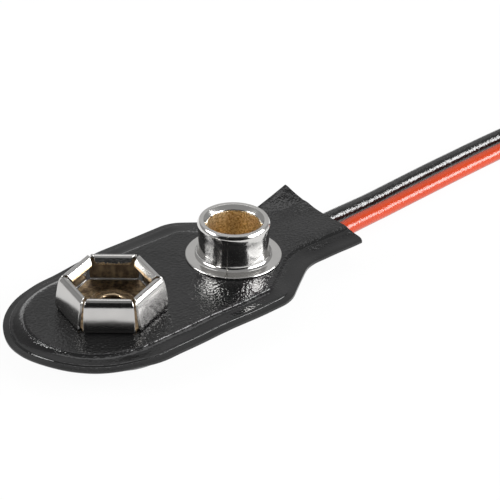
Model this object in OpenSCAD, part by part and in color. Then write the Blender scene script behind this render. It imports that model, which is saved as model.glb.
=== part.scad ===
// Snap connector for a 9 V block battery: a welded vinyl pouch with a hexagonal
// spring socket and a round stud on it, and two leads that leave its tail.
// Lengths in millimetres. The pouch lies flat, its tail towards +X.

/* [Pouch] */
// Length of the pouch from its round end to its mouth
pouch_len = 33.2; // [31:0.1:38]
// Width of the pouch across its straight sides
pouch_w = 16; // [15:0.1:19]
// Length of the tail's straight sides
tail_len = 5.3; // [4:0.1:6.5]
// Width of the tail
tail_w = 9; // [8.4:0.1:10]
// How far the mouth curves in between its corners
mouth_dip = 0.4; // [0:0.05:0.8]
// Slant of the shoulders to the pouch's length, in degrees
shoulder_angle = 35; // [30:1:42]
// Radius of each shoulder's outer curve
shoulder_r = 3.3; // [3.1:0.1:4]
// Radius of each shoulder's inner curve
fillet_r = 4.1; // [2.5:0.1:5]

/* [Vinyl sheets] */
// Thickness of each sheet
sheet_t = 0.4; // [0.36:0.02:0.6]
// Thickness of each sheet where it is welded
weld_t = 0.32; // [0.2:0.02:0.36]
// Thickness of each sheet at its cut edge
edge_t = 0.12; // [0.06:0.02:0.2]
// Width of the weld round the edge
weld_w = 1.85; // [1.6:0.05:2]
// Width of the bevel along the cut edge
bevel_w = 0.55; // [0.3:0.05:0.9]
// How far the weld lies below the top face
weld_drop = 0.18; // [0.1:0.02:0.3]
// Length over which the top face rises from the weld
rise_w = 0.4; // [0.3:0.05:0.6]
// Length over which the tray's wall falls to its floor
tray_run = 0.95; // [0.8:0.05:1.1]

/* [Terminals] */
// Distance between the two terminals
terminal_pitch = 12.7; // [12:0.1:13.5]
// Distance from the pouch's round end to the socket
end_to_socket = 9.4; // [8.5:0.1:10]
// Thickness of the terminals' sheet brass
metal_t = 0.26; // [0.2:0.02:0.34]
// Width of the socket across its flats
socket_flats = 7.5; // [7.2:0.1:8.2]
// Height of the socket
socket_h = 2.85; // [2.5:0.05:3.4]
// Width of the slot between two petals
petal_slot = 0.46; // [0.3:0.02:0.7]
// Outer radius of the petals' rolled tops
petal_roll_r = 0.4; // [0.36:0.02:0.5]
// How far each petal turns over, in degrees
petal_turn = 150; // [130:5:165]
// Length of the flap past each petal's roll
petal_flap = 0.5; // [0.2:0.05:0.7]
// Outer radius of the bend at each petal's foot
petal_bend_r = 0.4; // [0.36:0.02:0.6]
// Turn of the socket about its axis, in degrees
socket_turn = -10.5; // [-60:0.5:60]
// Radius of the stud's lip
stud_lip_r = 2.96; // [2.92:0.02:3.1]
// Radius of the stud's neck
stud_neck_r = 2.86; // [2.8:0.02:2.9]
// Radius of the opening in the stud
stud_bore_r = 2.28; // [2.1:0.02:2.34]
// Height of the stud
stud_h = 3.3; // [3:0.05:3.6]
// Height of the stud's lip
stud_lip_h = 0.75; // [0.7:0.05:0.9]
// Radius of the stud's flange
stud_flange_r = 4; // [3.8:0.05:4.4]
// Radius of the curve from the stud's neck to its flange
stud_foot_r = 0.55; // [0.4:0.05:0.7]
// Width of the seam in the stud's flange
seam_w = 0.1; // [0.05:0.01:0.2]
// Direction of that seam, in degrees
seam_turn = -140.5; // [-180:0.5:180]

/* [Eyelets and board] */
// Outer radius of an eyelet's barrel
barrel_r = 1.3; // [1.2:0.05:1.4]
// Radius of the hole through an eyelet
eyelet_hole_r = 0.95; // [0.7:0.05:1.05]
// Radius of an eyelet's head
eyelet_head_r = 1.9; // [1.7:0.05:2]
// Radius of an eyelet's rolled end under the board
eyelet_roll_r = 1.9; // [1.7:0.05:1.95]
// Thickness of an eyelet's head
eyelet_head_t = 0.3; // [0.2:0.02:0.36]
// Thickness of an eyelet's rolled end
eyelet_roll_t = 0.35; // [0.25:0.02:0.36]
// Clearance round an eyelet's barrel
barrel_clear = 0.05; // [0.02:0.01:0.1]
// Thickness of the board
board_t = 0.4; // [0.3:0.05:0.6]
// Clearance between the board's edge and the rise of the top sheet
board_clear = 0.2; // [0.1:0.05:0.4]
// Radius of a solder joint
solder_r = 1.55; // [1.4:0.05:1.65]
// Height of a solder joint
solder_h = 0.72; // [0.66:0.02:0.76]

/* [Leads] */
// Outer diameter of each lead
lead_d = 1.42; // [1.2:0.02:1.44]
// Diameter of a lead's stranded conductor
strand_d = 0.5; // [0.4:0.02:0.54]
// Room for the leads between the board and the tray's floor
lead_room = 1.45; // [1.44:0.01:1.7]
// Length of each bare tinned end
tinned_len = 5; // [3:0.5:7]
// Radius of the lead coil at the middle of its turns
coil_mid_r = 7.15; // [6.8:0.05:7.6]
// Height of the lead coil
coil_h = 4.2; // [3.5:0.1:5]
// Thickness of the coil's tie
tie_t = 0.2; // [0.1:0.05:0.3]
// Width of the coil's tie
tie_w = 2.5; // [1.5:0.1:4]

/* [Hidden] */
$fn = 64;

// Colours
vinyl_black = [0.16, 0.16, 0.17];
nickel = [0.82, 0.82, 0.8];
brass = [0.76, 0.6, 0.34];
fibre_brown = [0.55, 0.4, 0.27];
solder_grey = [0.68, 0.69, 0.7];
red_pvc = [0.82, 0.2, 0.09];
black_pvc = [0.1, 0.1, 0.1];
tie_white = [0.88, 0.88, 0.85];

// Places along the pouch
tip_x = -pouch_len / 2;
mouth_x = pouch_len / 2;
end_r = pouch_w / 2;
end_x = tip_x + end_r;
tail_x = mouth_x - tail_len;
socket_x = tip_x + end_to_socket;
stud_x = socket_x + terminal_pitch;
board_end_x = stud_x + stud_flange_r;
slope_gap = 0.5;
slope_x = board_end_x + slope_gap;

// Heights, from the surface that the tray's floor stands on
board_z = sheet_t + lead_room;
board_top_z = board_z + board_t;
seat_z = board_top_z + sheet_t;
weld_z = seat_z - weld_drop - weld_t;
roll_z = board_z - eyelet_roll_t;
head_z = seat_z + metal_t;
coil_z = tie_t;
coil_top_z = coil_z + coil_h;

// Overlap that lets a cut pass cleanly through a face
cut = 0.01;

// Routes of the leads, from their soldered ends to the coil
red_route = [
  [-4.6, -1, 1.13], [-3.3, -1.5, 1.13], [-1.2, -2.2, 1.13], [1.2, -2.7, 1.13],
  [3.6, -2.8, 1.13], [5.8, -2.7, 1.13], [7.6, -2.1, 1.13], [9.2, -1.4, 1.13],
  [11.2, -1.05, 1.13], [13.8, -1.02, 1.13], [16.6, -0.93, 1.13], [18.2, -0.75, 1.08],
  [20.4, -0.46, 0.95], [23, -0.14, 0.79], [25.9, 0.15, 0.71], [29, 0.35, 0.71],
  [32, 0.55, 0.71], [35, 0.72, 0.71], [38.4, 0.9, 0.71], [42, 1.07, 0.71],
  [46, 1.22, 0.71], [50, 1.34, 0.75], [55, 1.42, 0.83], [60, 1.44, 0.91]
];
black_route = [
  [8.5, 0.5, 1.13], [10, 0.75, 1.13], [11.8, 1, 1.13], [14.2, 1.1, 1.13],
  [16.6, 1.15, 1.13], [18.2, 1.27, 1.08], [20.4, 1.48, 0.95], [23, 1.76, 0.79],
  [25.9, 2.07, 0.71], [29, 2.31, 0.71], [32, 2.52, 0.71], [35, 2.69, 0.71],
  [38.4, 2.88, 0.71], [42, 3, 0.71], [46, 3.05, 0.71], [50, 3.03, 0.75],
  [55, 2.95, 0.83], [60, 2.86, 0.91]
];
coil_centre = [60, -5];
red_end_angle = 277;
black_end_angle = 79;
tie_angle = -20;
lead_sides = 8;

// Smooth step from 0 to 1
function smooth(t) = let (c = min(max(t, 0), 1)) c * c * (3 - 2 * c);

// Points of an arc, each with the outward normal of the outline there
function arc(centre, r, from, to, steps, sense) = [
  for (i = [0 : steps])
    let (a = from + (to - from) * i / steps)
      [centre.x + r * cos(a), centre.y + r * sin(a), sense * cos(a), sense * sin(a)]
];

// The pouch's outline on its +Y side, from the round end's tip to the mouth
shoulder_drop = pouch_w / 2 - tail_w / 2;
slant_drop = shoulder_drop - (shoulder_r + fillet_r) * (1 - cos(shoulder_angle));
slant_run = slant_drop / tan(shoulder_angle);
shoulder_x = tail_x - (shoulder_r + fillet_r) * sin(shoulder_angle) - slant_run;
tail_steps = 5;
half_outline = concat(
  arc([end_x, 0], end_r, 180, 90, 14, 1),
  arc([shoulder_x, end_r - shoulder_r], shoulder_r, 90, 90 - shoulder_angle, 5, 1),
  arc([tail_x, tail_w / 2 + fillet_r], fillet_r, 270 - shoulder_angle, 270, 6, -1),
  [for (i = [1 : tail_steps]) [tail_x + tail_len * i / tail_steps, tail_w / 2, 0, 1]]
);
last = len(half_outline) - 1;
columns = 2 * last + 1;

// How far the top face has come down at a place along the tail
function tail_drop(x) = board_t * smooth((x - slope_x) / (mouth_x - slope_x));

// How far the mouth's curve draws a point of the tail back
function mouth_pull(x, y) =
  let (along = smooth((x - tail_x) / tail_len), across = 2 * y / tail_w)
    mouth_dip * along * (1 - across * across);

// A point of a sheet: a station of the outline, and a level [inset, height, share of the tail's drop]
function sheet_point(station, level, side) =
  let (
    x = station[0] - level[0] * station[2],
    y = side * (station[1] - level[0] * station[3])
  )
    [x - mouth_pull(x, y), y, level[1] - level[2] * tail_drop(x)];

// One level's line of points, from the mouth round the tip and back to the mouth
function level_line(level) = concat(
  [for (i = [last : -1 : 0]) sheet_point(half_outline[i], level, 1)],
  [for (i = [1 : last]) sheet_point(half_outline[i], level, -1)]
);

function quad(a, b, c, d) = [[a, b, c], [a, c, d]];
function flat_list(lists) = [for (list = lists) each list];

// A sheet between two faces, each given as levels from the edge inwards
module lofted_sheet(upper, lower) {
  count = len(upper);
  inner = count - 1;
  end = columns - 1;
  function up(k, j) = k * columns + j;
  function down(k, j) = (count + k) * columns + j;
  points = flat_list([for (level = concat(upper, lower)) level_line(level)]);
  slopes = flat_list([
    for (k = [0 : inner - 1], j = [0 : end - 1])
      concat(
        quad(up(k, j), up(k + 1, j), up(k + 1, j + 1), up(k, j + 1)),
        quad(down(k, j), down(k, j + 1), down(k + 1, j + 1), down(k + 1, j))
      )
  ]);
  middle = flat_list([
    for (j = [0 : last - 2])
      concat(
        quad(up(inner, j), up(inner, end - j), up(inner, end - j - 1), up(inner, j + 1)),
        quad(down(inner, j), down(inner, j + 1), down(inner, end - j - 1), down(inner, end - j))
      )
  ]);
  tip = [
    [up(inner, last - 1), up(inner, last + 1), up(inner, last)],
    [down(inner, last - 1), down(inner, last), down(inner, last + 1)]
  ];
  rim = flat_list([for (j = [0 : end - 1]) quad(up(0, j), up(0, j + 1), down(0, j + 1), down(0, j))]);
  mouth = concat(
    flat_list([
      for (k = [0 : inner - 1])
        concat(
          quad(up(k + 1, 0), up(k, 0), down(k, 0), down(k + 1, 0)),
          quad(up(k, end), up(k + 1, end), down(k + 1, end), down(k, end))
        )
    ]),
    quad(up(inner, end), up(inner, 0), down(inner, 0), down(inner, end))
  );
  polyhedron(points, concat(slopes, middle, tip, rim, mouth));
}

// Cuts the holes of both eyelets through what they clamp
module eyelet_holes(from_z, to_z) {
  for (x = [socket_x, stud_x])
    translate([x, 0, from_z - cut])
      cylinder(r = barrel_r + barrel_clear, h = to_z - from_z + 2 * cut);
}

module top_cover() {
  rise = weld_w + rise_w;
  color(vinyl_black)
    difference() {
      lofted_sheet(
        [
          [0, weld_z + edge_t, 1], [bevel_w, weld_z + weld_t, 1],
          [weld_w, weld_z + weld_t, 1], [rise, seat_z, 1]
        ],
        [
          [0, weld_z, 1], [bevel_w, weld_z, 1],
          [weld_w, weld_z, 1], [rise, board_top_z, 1]
        ]
      );
      eyelet_holes(board_top_z, seat_z);
    }
}

// The tray's wall is slanted, so its outer face is set back by the sheet's thickness along the slant
module bottom_cover() {
  fall = weld_z - sheet_t;
  set_back = sheet_t * sqrt(fall * fall + tray_run * tray_run) / fall - weld_t * tray_run / fall;
  color(vinyl_black)
    lofted_sheet(
      [
        [0, weld_z, 1], [bevel_w, weld_z, 1],
        [weld_w, weld_z, 1], [weld_w + tray_run, sheet_t, 0]
      ],
      [
        [0, weld_z - edge_t, 1], [bevel_w, weld_z - weld_t, 1],
        [weld_w - set_back, weld_z - weld_t, 1], [weld_w + tray_run - set_back, 0, 0]
      ]
    );
}

// The board has the pouch's outline, set in past the weld and cut off behind the stud
module terminal_board() {
  inset = weld_w + rise_w + board_clear;
  half = [
    for (s = half_outline)
      let (x = s[0] - inset * s[2])
        if (x < board_end_x) [x, s[1] - inset * s[3]]
  ];
  end_y = half[len(half) - 1].y;
  outline = concat(
    half,
    [[board_end_x, end_y], [board_end_x, -end_y]],
    [for (i = [len(half) - 1 : -1 : 1]) [half[i].x, -half[i].y]]
  );
  color(fibre_brown)
    difference() {
      translate([0, 0, board_z])
        linear_extrude(board_t) polygon(outline);
      eyelet_holes(board_z, board_top_z);
    }
}

// Section through one petal: foot, bend, wall, roll and flap, at its distance from the socket's axis
module petal_section() {
  wall = socket_flats / 2;
  root = wall - petal_bend_r - metal_t;
  bend = [wall - petal_bend_r, petal_bend_r];
  roll = [wall - petal_roll_r, socket_h - petal_roll_r];
  flap = petal_flap * [-sin(petal_turn), cos(petal_turn)];
  steps = 10;
  function bend_arc(r) = [
    for (i = [0 : steps])
      bend + r * [sin(90 * i / steps), -cos(90 * i / steps)]
  ];
  function roll_arc(r) = [
    for (i = [0 : steps])
      roll + r * [cos(petal_turn * i / steps), sin(petal_turn * i / steps)]
  ];
  outer = concat([[root, 0]], bend_arc(petal_bend_r), roll_arc(petal_roll_r));
  inner = concat([[root, metal_t]], bend_arc(petal_bend_r - metal_t), roll_arc(petal_roll_r - metal_t));
  outer_tip = outer[len(outer) - 1] + flap;
  inner_tip = inner[len(inner) - 1] + flap;
  polygon(concat(outer, [outer_tip, inner_tip], [for (i = [len(inner) - 1 : -1 : 0]) inner[i]]));
}

// One petal, trimmed at the mitres so that a slot stays open to each neighbour
module petal() {
  reach = socket_flats;
  slot_x = petal_slot / 2 / sin(30);
  intersection() {
    rotate([90, 0, 0])
      translate([0, 0, -reach / 2])
        linear_extrude(reach) petal_section();
    translate([slot_x, 0, -cut])
      linear_extrude(socket_h + 2 * cut)
        polygon([[0, 0], [reach, -reach * tan(30)], [reach, reach * tan(30)]]);
  }
}

module socket_terminal() {
  base_flats = socket_flats - 2 * petal_bend_r;
  color(nickel)
    translate([socket_x, 0, seat_z])
      rotate([0, 0, socket_turn])
        difference() {
          union() {
            rotate([0, 0, 30])
              cylinder(r = base_flats / 2 / cos(30), h = metal_t, $fn = 6);
            for (i = [0 : 5])
              rotate([0, 0, 60 * i]) petal();
          }
          translate([0, 0, -cut])
            cylinder(r = barrel_r + barrel_clear, h = metal_t + 2 * cut);
        }
}

// Half section of the stud: a folded double wall with a floor inside and a flange outside
module stud_section() {
  lip_edge_r = 0.3;
  bore_edge_r = 0.25;
  flange_edge_r = metal_t / 2;
  lip_z = stud_h - stud_lip_h;
  foot = [stud_neck_r + stud_foot_r, metal_t + stud_foot_r];
  steps = 8;
  function turn(centre, r, from, to) = [
    for (i = [0 : steps])
      let (a = from + (to - from) * i / steps)
        centre + r * [cos(a), sin(a)]
  ];
  difference() {
    polygon(concat(
      [[barrel_r + barrel_clear, 0]],
      turn([stud_flange_r - flange_edge_r, flange_edge_r], flange_edge_r, -90, 90),
      turn(foot, stud_foot_r, 270, 180),
      [[stud_neck_r, lip_z - (stud_lip_r - stud_neck_r)], [stud_lip_r, lip_z]],
      turn([stud_lip_r - lip_edge_r, stud_h - lip_edge_r], lip_edge_r, 0, 90),
      turn([stud_bore_r + bore_edge_r, stud_h - bore_edge_r], bore_edge_r, 90, 180),
      [[stud_bore_r, metal_t], [barrel_r + barrel_clear, metal_t]]
    ));
    polygon(concat(
      [[stud_bore_r + metal_t, -cut], [foot.x, -cut]],
      turn(foot, stud_foot_r + metal_t, 270, 180),
      [[stud_bore_r + metal_t, foot.y]]
    ));
  }
}

module stud_terminal() {
  seam_from = stud_neck_r + metal_t;
  color(nickel)
    translate([stud_x, 0, seat_z])
      difference() {
        rotate_extrude() stud_section();
        rotate([0, 0, seam_turn])
          translate([seam_from, -seam_w / 2, -cut])
            cube([stud_flange_r, seam_w, metal_t + stud_foot_r / 2]);
      }
}

// A hollow rivet: head on the terminal's floor, barrel through the stack, end rolled out under the board
module eyelet(x) {
  head_edge_r = eyelet_head_t / 2;
  translate([x, 0, 0])
    rotate_extrude()
      union() {
        translate([eyelet_hole_r, roll_z])
          square([barrel_r - eyelet_hole_r, head_z + eyelet_head_t - roll_z]);
        translate([eyelet_hole_r, head_z])
          square([eyelet_head_r - head_edge_r - eyelet_hole_r, eyelet_head_t]);
        translate([eyelet_head_r - head_edge_r, head_z + head_edge_r])
          circle(r = head_edge_r);
        translate([eyelet_hole_r, roll_z])
          square([eyelet_roll_r - eyelet_roll_t / 2 - eyelet_hole_r, eyelet_roll_t]);
        translate([eyelet_roll_r - eyelet_roll_t / 2, roll_z + eyelet_roll_t / 2])
          circle(r = eyelet_roll_t / 2);
      }
}

module socket_eyelet() {
  color(brass) eyelet(socket_x);
}

module stud_eyelet() {
  color(brass) eyelet(stud_x);
}

// The stripped end of a lead, from its insulation into the solder under an eyelet
module strands(route, x) {
  from = route[0];
  run = [x, 0] - [from.x, from.y];
  reach = norm(run) - solder_r / 2;
  translate(from)
    rotate([0, 0, atan2(run.y, run.x)])
      rotate([0, 90, 0])
        cylinder(d = strand_d, h = reach);
}

// A dome of solder under an eyelet's rolled end, round the strands
module solder(route, x) {
  flat_r = eyelet_roll_r - eyelet_roll_t / 2;
  dome_r = min(solder_r, flat_r);
  steps = 10;
  difference() {
    translate([x, 0, roll_z])
      rotate_extrude()
        polygon(concat(
          [[0, 0]],
          [for (i = [0 : steps]) [dome_r * cos(90 * i / steps), -solder_h * sin(90 * i / steps)]]
        ));
    strands(route, x);
  }
}

module socket_solder() {
  color(solder_grey) solder(red_route, socket_x);
}

module stud_solder() {
  color(solder_grey) solder(black_route, stud_x);
}

module red_strands() {
  color(solder_grey) strands(red_route, socket_x);
}

module black_strands() {
  color(solder_grey) strands(black_route, stud_x);
}

// A round tube along a route, with one ring of points at each of the route's points
module tube(route, d) {
  count = len(route);
  function heading(i) =
    let (step = route[min(i + 1, count - 1)] - route[max(i - 1, 0)]) step / norm(step);
  function ring(i) =
    let (
      ahead = heading(i),
      flat = cross(ahead, [0, 0, 1]),
      side = flat / norm(flat),
      above = cross(side, ahead)
    )
      [
        for (s = [0 : lead_sides - 1])
          let (a = 360 * s / lead_sides)
            route[i] + d / 2 * (cos(a) * side + sin(a) * above)
      ];
  function at(i, s) = i * lead_sides + s % lead_sides;
  points = flat_list([for (i = [0 : count - 1]) ring(i)]);
  walls = flat_list([
    for (i = [0 : count - 2], s = [0 : lead_sides - 1])
      quad(at(i, s), at(i, s + 1), at(i + 1, s + 1), at(i + 1, s))
  ]);
  first_cap = [[for (s = [lead_sides - 1 : -1 : 0]) at(0, s)]];
  last_cap = [[for (s = [0 : lead_sides - 1]) at(count - 1, s)]];
  polyhedron(points, concat(walls, first_cap, last_cap));
}

// A lead from its soldered end to the coil's outer face
module lead(route) {
  difference() {
    tube(route, lead_d);
    translate([coil_centre.x, coil_centre.y, -cut])
      cylinder(r = coil_mid_r + lead_d, h = coil_top_z);
  }
}

module red_lead() {
  color(red_pvc) lead(red_route);
}

module black_lead() {
  color(black_pvc) lead(black_route);
}

// A bare end that lies on the coil and follows its turn
module tinned_end(r, angle) {
  span = tinned_len / r * 180 / PI;
  translate([coil_centre.x, coil_centre.y, coil_top_z])
    rotate([0, 0, angle - span])
      rotate_extrude(angle = span)
        translate([r, strand_d / 2]) circle(d = strand_d);
}

module red_tinned_end() {
  color(solder_grey) tinned_end(coil_mid_r - lead_d / 2, red_end_angle);
}

module black_tinned_end() {
  color(solder_grey) tinned_end(coil_mid_r + lead_d / 2, black_end_angle);
}

// Outer shape of the turns of both leads
module lead_coil() {
  color(black_pvc)
    translate([coil_centre.x, coil_centre.y, coil_z])
      rotate_extrude()
        translate([coil_mid_r - lead_d, 0]) square([2 * lead_d, coil_h]);
}

module lead_tie() {
  span = tie_w / coil_mid_r * 180 / PI;
  color(tie_white)
    translate([coil_centre.x, coil_centre.y, 0])
      rotate([0, 0, tie_angle - span / 2])
        rotate_extrude(angle = span)
          difference() {
            translate([coil_mid_r - lead_d - tie_t, 0])
              square([2 * (lead_d + tie_t), coil_h + 2 * tie_t]);
            translate([coil_mid_r - lead_d, coil_z])
              square([2 * lead_d, coil_h]);
          }
}

top_cover();
bottom_cover();
terminal_board();
socket_terminal();
stud_terminal();
socket_eyelet();
stud_eyelet();
socket_solder();
stud_solder();
red_strands();
black_strands();
red_lead();
black_lead();
red_tinned_end();
black_tinned_end();
lead_coil();
lead_tie();
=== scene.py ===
# %% [markdown]
# # A snap connector for a block battery
# The part is a welded vinyl pouch with two bright metal terminals and two leads.
# Its solids come from a CAD model, and this lesson dresses them for a picture.
# Blender could model the part again from nothing, but then its sizes would drift.
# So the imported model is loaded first, and every new piece takes its place from it.

# %% Load the frame
from math import acos, cos, degrees, pi, radians, sin, tan

import bmesh
import bpy
from mathutils import Matrix, Vector, noise


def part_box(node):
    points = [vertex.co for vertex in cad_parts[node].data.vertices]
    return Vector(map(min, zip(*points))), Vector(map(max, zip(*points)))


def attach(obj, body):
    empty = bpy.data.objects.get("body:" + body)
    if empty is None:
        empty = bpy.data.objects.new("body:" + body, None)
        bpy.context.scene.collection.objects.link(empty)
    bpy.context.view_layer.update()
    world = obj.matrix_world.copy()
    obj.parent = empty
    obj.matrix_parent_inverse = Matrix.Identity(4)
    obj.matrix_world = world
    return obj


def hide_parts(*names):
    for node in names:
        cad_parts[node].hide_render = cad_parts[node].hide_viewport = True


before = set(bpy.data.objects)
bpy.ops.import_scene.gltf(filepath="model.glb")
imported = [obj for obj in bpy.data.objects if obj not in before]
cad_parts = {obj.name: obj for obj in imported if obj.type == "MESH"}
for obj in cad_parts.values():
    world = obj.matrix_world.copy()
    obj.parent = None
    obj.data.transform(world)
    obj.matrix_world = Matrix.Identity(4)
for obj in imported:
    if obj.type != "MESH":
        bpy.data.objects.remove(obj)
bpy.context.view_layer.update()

MM = 0.001

# %% [markdown]
# ## The camera
# The photograph looks down on the part from the round end, with a long lens.
# A camera could be turned by eye until the picture looks right.
# Here its angles were fitted to the known distance between the two terminals,
# so the same numbers place every piece where the photograph shows it.

# %% Place the camera
PHOTO_AZIMUTH = radians(-41.56)
PHOTO_ELEVATION = radians(30.74)
PHOTO_ROLL = radians(1.11)
PHOTO_DISTANCE = 160 * MM
PHOTO_TARGET = Vector((7.07, -0.29, 2.65)) * MM
PHOTO_LENS = 137.85


def direction(azimuth, elevation):
    """The unit vector towards a viewer at that azimuth and elevation."""
    return Vector((sin(azimuth) * cos(elevation), -cos(azimuth) * cos(elevation), sin(elevation)))


back = direction(PHOTO_AZIMUTH, PHOTO_ELEVATION)
level = Vector((cos(PHOTO_AZIMUTH), sin(PHOTO_AZIMUTH), 0))
above = back.cross(level)
right = level * cos(PHOTO_ROLL) + above * sin(PHOTO_ROLL)
up = above * cos(PHOTO_ROLL) - level * sin(PHOTO_ROLL)
camera_data = bpy.data.cameras.new("photo_camera")
camera_data.lens = PHOTO_LENS
camera_data.sensor_width = 36
camera_data.clip_start = 10 * MM
camera = bpy.data.objects.new("photo_camera", camera_data)
camera.matrix_world = (
    Matrix.Translation(PHOTO_TARGET + back * PHOTO_DISTANCE)
    @ Matrix((right, up, back)).transposed().to_4x4()
)
bpy.context.scene.collection.objects.link(camera)
bpy.context.scene.camera = camera
print("camera at", [round(v / MM, 1) for v in camera.location], "mm")

# %% [markdown]
# ## Writing shaders as sums
# A finish is a small calculation: take a place on the surface, look up some noise,
# and turn it into a colour and a roughness. Nodes can be wired one by one,
# but the wiring hides the sum. This class wraps one socket, so that ordinary
# arithmetic adds the Math nodes, and one method adds every other kind of node.

# %% A socket that can be used in arithmetic


class Wire:
    """An output socket of a node tree. Arithmetic on it adds Math nodes."""

    def __init__(self, tree, socket=None):
        self.tree = tree
        self.socket = socket

    def node(self, kind, settings=None, values=None, output=0):
        """Adds a node with its settings and the values or links of its sockets."""
        made = self.tree.nodes.new("ShaderNode" + kind)
        for name, value in (settings or {}).items():
            setattr(made, name, value)
        for name, value in (values or {}).items():
            if isinstance(value, Wire):
                self.tree.links.new(value.socket, made.inputs[name])
            else:
                made.inputs[name].default_value = value
        return Wire(self.tree, made.outputs[output] if made.outputs else None)

    def math(self, operation, first, second):
        return self.node("Math", {"operation": operation}, {0: first, 1: second})

    def __add__(self, other):
        return self.math("ADD", self, other)

    def __sub__(self, other):
        return self.math("SUBTRACT", self, other)

    def __rsub__(self, other):
        return self.math("SUBTRACT", other, self)

    def __mul__(self, other):
        return self.math("MULTIPLY", self, other)

    __radd__ = __add__
    __rmul__ = __mul__

    def noise(self, grain_mm, detail=2.0, roughness=0.5):
        """Noise over the place that this wire carries, with grains of that size."""
        size = {"Vector": self, "Scale": 1 / (grain_mm * MM), "Detail": detail, "Roughness": roughness}
        return self.node("TexNoise", values=size)

    def ramp(self, low, high):
        """A smooth step from 0 at low to 1 at high."""
        limits = {"Value": self, "From Min": low, "From Max": high}
        return self.node("MapRange", {"interpolation_type": "SMOOTHSTEP"}, limits)

    def colours(self, first, second):
        """A mix of two colours, by this wire's value."""
        mix = {0: self, 6: first, 7: second}
        return self.node("Mix", {"data_type": "RGBA"}, mix, output=2)

    def bump(self, depth_mm):
        """A normal from this wire's height."""
        return self.node("Bump", values={"Strength": 1.0, "Distance": depth_mm * MM, "Height": self})


def make_finish(name, recipe):
    """A material whose recipe turns the place on a piece into the shader's sockets."""
    material = bpy.data.materials.new(name)
    material.use_nodes = True
    material.node_tree.nodes.clear()
    place = Wire(material.node_tree).node("TexCoord", output="Object")
    shader = place.node("BsdfPrincipled", values=recipe(place))
    place.node("OutputMaterial", values={"Surface": shader})
    print("finish:", name, "with", len(material.node_tree.nodes), "nodes")
    return material


print("made: a wire for sums, and a function that makes a finish from its recipe")

# %% [markdown]
# ## The insulation of the leads
# Each lead is stranded wire in soft PVC, extruded with a skin that is not quite even.
# A plain glossy plastic gives one clean line of light along the wire.
# The real line is broken into specks, so fine noise bends the surface and
# changes its roughness a little. The colour also drifts by a few per cent.

# %% Mix the two insulations
SKIN_GRAIN_MM = 0.2
DRIFT_GRAIN_MM = 4.0
RED_DARK, RED_LIGHT = (0.38, 0.03, 0.002, 1), (0.46, 0.04, 0.003, 1)
BLACK_DARK, BLACK_LIGHT = (0.005, 0.005, 0.005, 1), (0.008, 0.008, 0.008, 1)


def insulation(dark, light, roughness, shine, depth_mm):
    """A recipe for a PVC skin between two colours."""

    def recipe(place):
        specks = place.noise(SKIN_GRAIN_MM, detail=1)
        drift = place.noise(DRIFT_GRAIN_MM)
        return {
            "Base Color": drift.colours(dark, light),
            "Roughness": roughness + 0.1 * (specks - 0.5),
            "Specular IOR Level": shine,
            "Normal": specks.bump(depth_mm),
        }

    return recipe


red_recipe = insulation(RED_DARK, RED_LIGHT, roughness=0.24, shine=0.5, depth_mm=0.03)
black_recipe = insulation(BLACK_DARK, BLACK_LIGHT, roughness=0.18, shine=0.75, depth_mm=0.045)
red_skin = make_finish("red_insulation", red_recipe)
black_skin = make_finish("black_insulation", black_recipe)

# %% [markdown]
# ## The two leads
# A lead is a fixed length of something limp: it leaves the pouch's mouth, sinks to
# the table and runs on. What the photograph cuts off is wound into a small coil,
# as a new part comes out of its bag. A lead could be swept as a mesh, but a curve
# with a round bevel keeps its route, its length and its thickness easy to read.
# The points are those of the CAD model, and the coil's turns follow from a loop.

# %% Lay the leads
LEAD_D = 1.42
RED_ROUTE = [
    (-4.6, -1, 1.13), (-3.3, -1.5, 1.13), (-1.2, -2.2, 1.13), (1.2, -2.7, 1.13),
    (3.6, -2.8, 1.13), (5.8, -2.7, 1.13), (7.6, -2.1, 1.13), (9.2, -1.4, 1.13),
    (11.2, -1.05, 1.13), (13.8, -1.02, 1.13), (16.6, -0.93, 1.13), (18.2, -0.75, 1.08),
    (20.4, -0.46, 0.95), (23, -0.14, 0.79), (25.9, 0.15, 0.71), (29, 0.35, 0.71),
    (32, 0.55, 0.71), (35, 0.72, 0.71), (38.4, 0.9, 0.71), (42, 1.07, 0.71),
    (46, 1.22, 0.71), (50, 1.34, 0.75), (55, 1.42, 0.83), (60, 1.44, 0.91),
]
BLACK_ROUTE = [
    (8.5, 0.5, 1.13), (10, 0.75, 1.13), (11.8, 1, 1.13), (14.2, 1.1, 1.13),
    (16.6, 1.15, 1.13), (18.2, 1.27, 1.08), (20.4, 1.48, 0.95), (23, 1.76, 0.79),
    (25.9, 2.07, 0.71), (29, 2.31, 0.71), (32, 2.52, 0.71), (35, 2.69, 0.71),
    (38.4, 2.88, 0.71), (42, 3, 0.71), (46, 3.05, 0.71), (50, 3.03, 0.75),
    (55, 2.95, 0.83), (60, 2.86, 0.91),
]
COIL_X, COIL_Y = 60, -5
COIL_START_Z, COIL_END_Z = 0.91, 4.65
POINTS_PER_TURN = 18
RED_COIL_R, RED_COIL_SWEEP = 6.44, 893
BLACK_COIL_R, BLACK_COIL_SWEEP = 7.86, 731


def coil_point(radius, turned, share):
    """A point of the coil after turning clockwise by that many degrees from the far side."""
    angle = radians(90 - turned)
    height = COIL_START_Z + (COIL_END_Z - COIL_START_Z) * share
    return (COIL_X + radius * cos(angle), COIL_Y + radius * sin(angle), height)


def coil_turns(radius, sweep):
    """The points of one lead's turns, at least POINTS_PER_TURN to a turn."""
    count = round(sweep / 360 * POINTS_PER_TURN)
    return [coil_point(radius, sweep * i / count, i / count) for i in range(1, count + 1)]


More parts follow.
